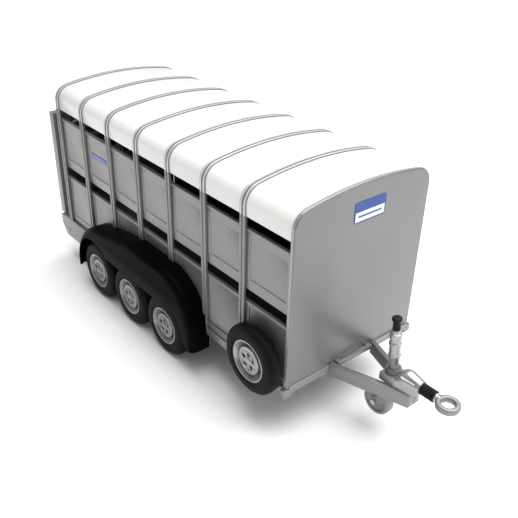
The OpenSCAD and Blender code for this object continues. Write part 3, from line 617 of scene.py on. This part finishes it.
def twin(name, piece, step=(0, 0, 0), mirrored=False):
    """a copy with its own mesh, moved by step, or mirrored to the other side"""
    copy = piece.copy()
    copy.data = piece.data.copy()
    copy.name = copy.data.name = name
    bpy.context.scene.collection.objects.link(copy)
    copy.data.transform(Matrix.Translation(step) @ Matrix.Diagonal((1, -1 if mirrored else 1, 1, 1)))
    if mirrored:
        copy.data.flip_normals()
    return copy


wheel_step = 23.3 * mm
tyre = turned("tyre_rear_right", tyre_profile, first_axle, wheel_face_y, -1, tyre_finish)
smooth(tyre, 40)
rim_offset = (spare_place[0] - first_axle[0]) * mm, 0, (spare_place[1] - first_axle[1]) * mm
spare_tyre = twin("tyre_spare", tyre, rim_offset)
for i, row in enumerate(("rear", "middle", "front")):
    right_one = tyre if i == 0 else twin("tyre_%s_right" % row, tyre, (i * wheel_step, 0, 0))
    left_one = twin("tyre_%s_left" % row, right_one, mirrored=True)
    for wheel in (right_one, left_one):
        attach(wheel, "wheelset_" + row)
    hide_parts("tyres_" + row)
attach(spare_tyre, "root")
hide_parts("spare_tyre")


# Rims ----------------------------------------------------------------------------------------
# Bright silver mouldings: a rounded lip, a dished ring, and a disc where a raised ridge runs round
# five pockets and a centre cap.
rim_side = [(6.88, -0.45), (6.86, -0.12), (6.6, -0.03), (6.3, -0.12), (6.0, -0.5), (5.7, -0.95), (5.2, -1.3),
            (4.85, -1.38), (4.68, -1.2), (4.58, -0.8), (4.45, -0.52), (4.2, -0.42), (3.45, -0.42), (3.35, -0.2),
            (3.08, -0.2), (2.98, -0.55), (1.5, -0.55), (1.3, -0.3), (1.1, -0.1), (0.8, -0.02),
            (0.4, 0.0), (0.0, 0.0)]
rim_back = [(0.0, -4.6), (1.6, -4.6), (2.2, -4.4), (2.4, -2.4), (5.9, -2.6), (6.1, -4.6), (6.88, -4.6)]
rim_finish, rim_shader, rim_place = new_finish("rim_silver", Metallic=0.85)
rim_cloud, rim_grain = rim_place.noise(90.0, 3.0), rim_place.noise(4200.0, 1.0)
# Painted shade: the rim turns near black the deeper a surface lies behind the wheel's face, in the dish, the
# pockets and behind them.
full_shade_y, no_shade_y = wheel_face_y - 1.25 * mm, wheel_face_y - 0.62 * mm
rim_recess_shade = abs(axes_of(rim_place)[1]).clamped(full_shade_y, no_shade_y)
rim_tone = rim_cloud.clamped(0.3, 0.7).blend((0.20, 0.20, 0.195), (0.34, 0.34, 0.33))
paint_on(rim_shader, Base_Color=rim_recess_shade.blend((0.06, 0.06, 0.062), rim_tone),
         Roughness=rim_cloud * 0.15 + 0.24,
         Normal=bumped(rim_grain * 0.4 + rim_place.noise(700.0, 2.0), 0.07 * mm, 0.5))
rim = turned("rim_rear_right", rim_side + rim_back, first_axle, wheel_face_y, -1, rim_finish)
rim_centre = Vector((first_axle[0] * mm + rear_post_x, -wheel_face_y, first_axle[1] * mm))
pocket_count, pocket_ring, pocket_radius = 5, 2.25 * mm, 0.7 * mm
pocket_middle, pocket_half_depth = 0.6 * mm, 0.65 * mm
for i in range(pocket_count):
    turn = math.radians(90 + 360 / pocket_count * i)
    place = rim_centre + Vector((pocket_ring * math.cos(turn), 0, pocket_ring * math.sin(turn)))
    bpy.ops.object.select_all(action="DESELECT")
    bpy.ops.mesh.primitive_cylinder_add(vertices=24, radius=pocket_radius, depth=2 * pocket_half_depth,
                                        location=place + Vector((0, pocket_middle, 0)),
                                        rotation=(math.pi / 2, 0, 0))
    cut_away(rim, bpy.context.object)
round_edges(rim, 0.05 * mm, 2, 50)
spare_rim = twin("rim_spare", rim, rim_offset)
for i, row in enumerate(("rear", "middle", "front")):
    right_one = rim if i == 0 else twin("rim_%s_right" % row, rim, (i * wheel_step, 0, 0))
    left_one = twin("rim_%s_left" % row, right_one, mirrored=True)
    for wheel in (right_one, left_one):
        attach(wheel, "wheelset_" + row)
    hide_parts("rims_" + row)
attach(spare_rim, "root")
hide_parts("spare_rim")


# Axles, pins and screws ----------------------------------------------------------------------
# Plain steel rods and four plated screws; the axle ends are hidden behind the rims' caps.
steel_finish, steel_shader, steel_place = new_finish("plated_steel", Metallic=1.0)
steel_grain = steel_place.noise(600.0, 3.0, (1, 0.1, 1))
paint_on(steel_shader, Base_Color=steel_grain.clamped(0.3, 0.7).blend((0.42, 0.42, 0.42), (0.56, 0.56, 0.55)),
         Roughness=steel_grain * 0.2 + 0.2)
for node in ("ramp_hinge_rod", "body_screws", "axle_rear", "axle_middle", "axle_front", "jockey_axle"):
    softened(node, 0.05 * mm, steel_finish)


# Coupling head and clamp ---------------------------------------------------------------------
# A bright domed casting on the tip of the drawbar, bolted through a block that also grips the
# jockey column.
bright_finish, bright_shader, bright_place = new_finish("bright_casting", Metallic=0.6, Coat_Weight=0.1)
bright_cloud, bright_grain = bright_place.noise(160.0, 4.0), bright_place.noise(3800.0, 2.0)
bright_tone = bright_cloud.clamped(0.3, 0.7).blend((0.26, 0.26, 0.255), (0.40, 0.40, 0.39))
paint_on(bright_shader, Base_Color=bright_tone, Roughness=bright_cloud * 0.2 + 0.2,
         Normal=bumped(bright_grain + bright_cloud * 2.0, 0.03 * mm, 0.4))
softened("coupling_head", 0.25 * mm, bright_finish, 3)
softened("jockey_clamp", 0.12 * mm, frame_silver)
softened("jockey_fork", 0.12 * mm, frame_silver)


# Coupling bellows and towing ring ------------------------------------------------------------
# A soft black ribbed sleeve hides the ring's shank; the ring is a plain bright eye with rounded
# edges on a short collar.
coupling_z, sleeve_from, sleeve_to = 23.6, 163.2, 168.0
sleeve_finish, sleeve_shader, sleeve_place = new_finish("sleeve_rubber", Specular_IOR_Level=0.2)
sleeve_cloud = sleeve_place.noise(400.0, 3.0)
sleeve_tone = sleeve_cloud.clamped(0.3, 0.7).blend((0.004, 0.004, 0.004), (0.012, 0.012, 0.012))
paint_on(sleeve_shader, Base_Color=sleeve_tone, Roughness=sleeve_cloud * 0.2 + 0.5,
         Normal=bumped(sleeve_cloud, 0.04 * mm, 0.5))


def turned_about(name, profile, origin, axis, radial, finish, steps=64):
    """turns (radius, distance along the axis) in millimetres about a line through origin"""
    axis, radial, origin = Vector(axis).normalized(), Vector(radial).normalized(), Vector(origin)
    piece = draw_line([tuple(origin + axis * (a * mm) + radial * (r * mm)) for r, a in profile + profile[:1]])
    bpy.ops.mesh.select_all(action="SELECT")
    bpy.ops.mesh.remove_doubles(threshold=weld)
    bpy.ops.mesh.select_all(action="SELECT")
    bpy.ops.mesh.spin(steps=steps, angle=math.tau, center=origin, axis=axis)
    return leave_mesh(piece, name, finish)


rib_count, rib_radius, rib_waist = 6, 1.85, 1.35
sleeve_profile = [(0.9, 0.0), (rib_waist, 0.0)]
rib_length = (sleeve_to - sleeve_from) / rib_count
for i in range(rib_count):
    for turn in range(0, 181, 30):
        lift = math.sin(math.radians(turn)) ** 0.7 if 0 < turn < 180 else 0.0
        sleeve_profile.append((rib_waist + (rib_radius - rib_waist) * lift,
                               rib_length * (i + 0.08 + 0.84 * (1 - math.cos(math.radians(turn))) / 2)))
sleeve_profile += [(rib_waist, sleeve_to - sleeve_from), (0.9, sleeve_to - sleeve_from)]
sleeve = turned_about("ribbed_sleeve", sleeve_profile, (sleeve_from * mm + rear_post_x, 0, coupling_z * mm),
                      (1, 0, 0), (0, 0, 1), sleeve_finish)
smooth(sleeve, 60)
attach(sleeve, "root")
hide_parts("coupling_bellows")

ring_x, ring_radius, eye_radius, ring_half = 172.1, 3.6, 1.95, 1.05
ring_profile = []
for turn in range(0, 360, 15):
    squared = [math.copysign(abs(f(math.radians(turn))) ** 0.62, f(math.radians(turn)))
               for f in (math.cos, math.sin)]
    ring_profile.append(((ring_radius + eye_radius) / 2 + (ring_radius - eye_radius) / 2 * squared[0],
                         ring_half * squared[1]))
ring = turned_about("towing_eye_ring", ring_profile, (ring_x * mm + rear_post_x, 0, coupling_z * mm),
                    (0, 0, 1), (1, 0, 0), frame_silver, 96)
smooth(ring, 60)
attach(ring, "root")
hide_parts("towing_ring")
collar_profile = [(0.0, -0.6), (1.1, -0.6), (1.35, 0.0), (1.5, 0.12), (1.5, 0.75), (1.38, 0.9),
                  (1.15, 0.95), (1.1, 1.25), (0.0, 1.25)]
collar = turned_about("ring_collar", collar_profile, (sleeve_to * mm + rear_post_x, 0, coupling_z * mm),
                      (1, 0, 0), (0, 0, 1), bright_finish)
smooth(collar, 40)
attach(collar, "root")


# Jockey wheel --------------------------------------------------------------------------------
# A leaning bright tube with raised rings slides in the clamp; a black fluted grip tops it, and
# a small solid wheel turns in a fork below.
jockey_x, jockey_lean = 152.8, math.radians(-4.5)
jockey_foot = Vector((jockey_x * mm + rear_post_x, 0, floor_z))
jockey_up = Vector((math.sin(jockey_lean), 0, math.cos(jockey_lean)))
jockey_front = Vector((math.cos(jockey_lean), 0, -math.sin(jockey_lean)))
column_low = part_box("jockey_column")[0].z / mm - floor_z / mm
swivel_bore = 2.9  # millimetres deep, for the fork's pin
column_profile = [(0.0, column_low + swivel_bore), (1.1, column_low + swivel_bore), (1.1, column_low),
                  (1.5, column_low), (1.6, column_low + 0.1), (1.6, 8.9), (1.7, 9.05), (1.85, 9.2), (1.85, 9.8),
                  (1.7, 9.95), (1.68, 13.0), (1.8, 13.1), (1.95, 13.2), (1.95, 13.7), (1.8, 13.85), (1.7, 14.0),
                  (1.7, 14.9), (1.85, 15.1), (1.85, 16.6), (1.7, 16.8), (1.35, 16.95), (1.3, 17.8), (1.2, 18.0),
                  (0.0, 18.0)]
column = turned_about("column_tube", column_profile, jockey_foot, jockey_up, jockey_front, bright_finish)
smooth(column, 35)
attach(column, "jockey_mast")
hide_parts("jockey_column")

grip_profile = [(0.0, 18.0), (1.12, 18.0), (1.2, 18.15), (1.15, 18.5), (1.06, 20.6), (1.15, 20.8),
                (1.42, 21.0), (1.52, 21.25), (1.52, 21.75), (1.4, 22.0), (1.15, 22.17), (0.7, 22.2), (0.0, 22.2)]
grip = turned_about("fluted_grip", grip_profile, jockey_foot, jockey_up, jockey_front, sleeve_finish)
flute_count, flute_radius, flute_length = 8, 0.22 * mm, 1.9 * mm
flute_height, flute_ring = 19.55, 1.2
for i in range(flute_count):
    turn = math.tau * i / flute_count
    side = jockey_front * math.cos(turn) + Vector((0, 1, 0)) * math.sin(turn)
    bpy.ops.object.select_all(action="DESELECT")
    place = jockey_foot + jockey_up * flute_height * mm + side * flute_ring * mm
    bpy.ops.mesh.primitive_cylinder_add(vertices=16, radius=flute_radius, depth=flute_length,
                                        location=place, rotation=(0, jockey_lean, 0))
    cut_away(grip, bpy.context.object)
round_edges(grip, 0.03 * mm, 2, 50)
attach(grip, "jockey_mast")
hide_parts("jockey_grip")

small_wheel_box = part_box("jockey_wheel")
small_wheel_centre = (small_wheel_box[0] + small_wheel_box[1]) / 2
small_profile = [(0.82, -1.7), (1.5, -1.7), (1.7, -1.6), (1.85, -1.25), (2.1, -1.15), (3.3, -1.15),
                 (3.55, -1.3), (3.7, -1.65), (4.1, -1.7), (4.55, -1.55), (4.8, -1.25), (4.9, -0.8)]
small_profile += [(r, -a) for r, a in reversed(small_profile)]
small_wheel = turned_about("small_wheel", small_profile, small_wheel_centre, (0, 1, 0), jockey_up, frame_silver)
smooth(small_wheel, 35)
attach(small_wheel, "jockey_roller")
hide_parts("jockey_wheel")


# Stickers ------------------------------------------------------------------------------------
# Plain blue and white stickers with rounded corners: one on the front panel, a small one high
# on each side.
label_low, label_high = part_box("front_label")
label_middle, label_size = (label_low + label_high) / 2, label_high - label_low
label_finish, label_shader, label_place = new_finish("front_sticker", Specular_IOR_Level=0.4)
label_across = abs(axes_of(label_place)[1] - label_middle.y)
label_up = axes_of(label_place)[2] - label_middle.z
side_border, top_border, bar_inset = 0.45 * mm, 0.4 * mm, 1.6 * mm
blue, white = (0.012, 0.045, 0.23), (0.62, 0.64, 0.68)
label_cloud = label_place.noise(500.0, 3.0)
upper_half = label_up > 0.1 * mm
border = label_across.math("MAXIMUM", label_across > label_size.y / 2 - side_border,
                           abs(label_up) > label_size.z / 2 - top_border)
lower_bar = (abs(label_up + 1.35 * mm) < 0.28 * mm) * (label_across < label_size.y / 2 - bar_inset)
label_tone = upper_half.blend(white, label_cloud.clamped(0.3, 0.7).blend(blue, (0.02, 0.06, 0.29)))
label_tone = lower_bar.blend(label_tone, blue)
paint_on(label_shader, Base_Color=(border * (1.0 - upper_half)).blend(label_tone, blue),
         Roughness=label_cloud * 0.1 + 0.3)


def rounded_plate(name, low, high, corner, thin_axis, finish):
    """a thin plate from low to high, its outline's corners rounded"""
    bpy.ops.object.select_all(action="DESELECT")
    bpy.ops.mesh.primitive_cube_add(size=1.0, location=(low + high) / 2)
    piece = bpy.context.object
    piece.dimensions = high - low
    bpy.ops.object.transform_apply(location=True, rotation=False, scale=True)
    corners = piece.data.vertices
    bpy.ops.object.mode_set(mode="EDIT")
    bpy.ops.mesh.select_all(action="DESELECT")
    bpy.ops.mesh.select_mode(type="EDGE")
    bpy.ops.object.mode_set(mode="OBJECT")
    for edge in piece.data.edges:
        ends = [corners[i].co for i in edge.vertices]
        edge.select = abs(ends[0][thin_axis] - ends[1][thin_axis]) > 0.01 * mm
    bpy.ops.object.mode_set(mode="EDIT")
    bpy.ops.mesh.bevel(offset=corner, segments=8, affect="EDGES")
    bpy.ops.mesh.select_mode(type="VERT")
    return leave_mesh(piece, name, finish)


front_sticker = rounded_plate("front_sticker", label_low, label_high, 0.9 * mm, 0, label_finish)
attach(front_sticker, "root")
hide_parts("front_label")

side_finish, side_shader, side_place = new_finish("side_sticker", Specular_IOR_Level=0.4)
side_low, side_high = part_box("side_labels")
side_z = axes_of(side_place)[2] - (side_low.z + side_high.z) / 2
sticker_thickness = 0.12 * mm
side_cloud = side_place.noise(900.0, 3.0)
side_tone = side_cloud.clamped(0.3, 0.7).blend((0.03, 0.09, 0.33), (0.055, 0.14, 0.43))
paint_on(side_shader, Base_Color=(abs(side_z + 0.1 * mm) < 0.16 * mm).blend(side_tone, (0.33, 0.38, 0.5)),
         Roughness=side_cloud * 0.1 + 0.3)
for name, y_low, y_high in (("side_sticker_right", side_low.y, side_low.y + sticker_thickness),
                            ("side_sticker_left", side_high.y - sticker_thickness, side_high.y)):
    piece = rounded_plate(name, Vector((side_low.x, y_low, side_low.z)),
                          Vector((side_high.x, y_high, side_high.z)), 0.5 * mm, 1, side_finish)
    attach(piece, "root")
    if name.endswith("right"):
        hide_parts("side_labels")


# Lamps and markers -----------------------------------------------------------------------------
# Moulded red lenses with fine ribs in the rear housings, and a small clear marker each side.
red_finish, red_shader, red_place = new_finish("red_lens", Roughness=0.15, Coat_Weight=0.4)
red_ribs = red_place.node("ShaderNodeTexWave", {"bands_direction": "Y"}, {"Vector": red_place, "Scale": 700.0})
paint_on(red_shader, Base_Color=red_ribs.blend((0.23, 0.006, 0.005), (0.42, 0.015, 0.012)),
         Normal=bumped(red_ribs, 0.05 * mm, 0.6))
softened("rear_lamps", 0.1 * mm, red_finish)
clear_finish, clear_shader, clear_place = new_finish("clear_lens", Roughness=0.2, Coat_Weight=0.3)
clear_cloud = clear_place.noise(900.0, 2.0)
paint_on(clear_shader, Base_Color=clear_cloud.clamped(0.3, 0.7).blend((0.55, 0.55, 0.53), (0.72, 0.72, 0.7)))
softened("side_markers", 0.1 * mm, clear_finish)
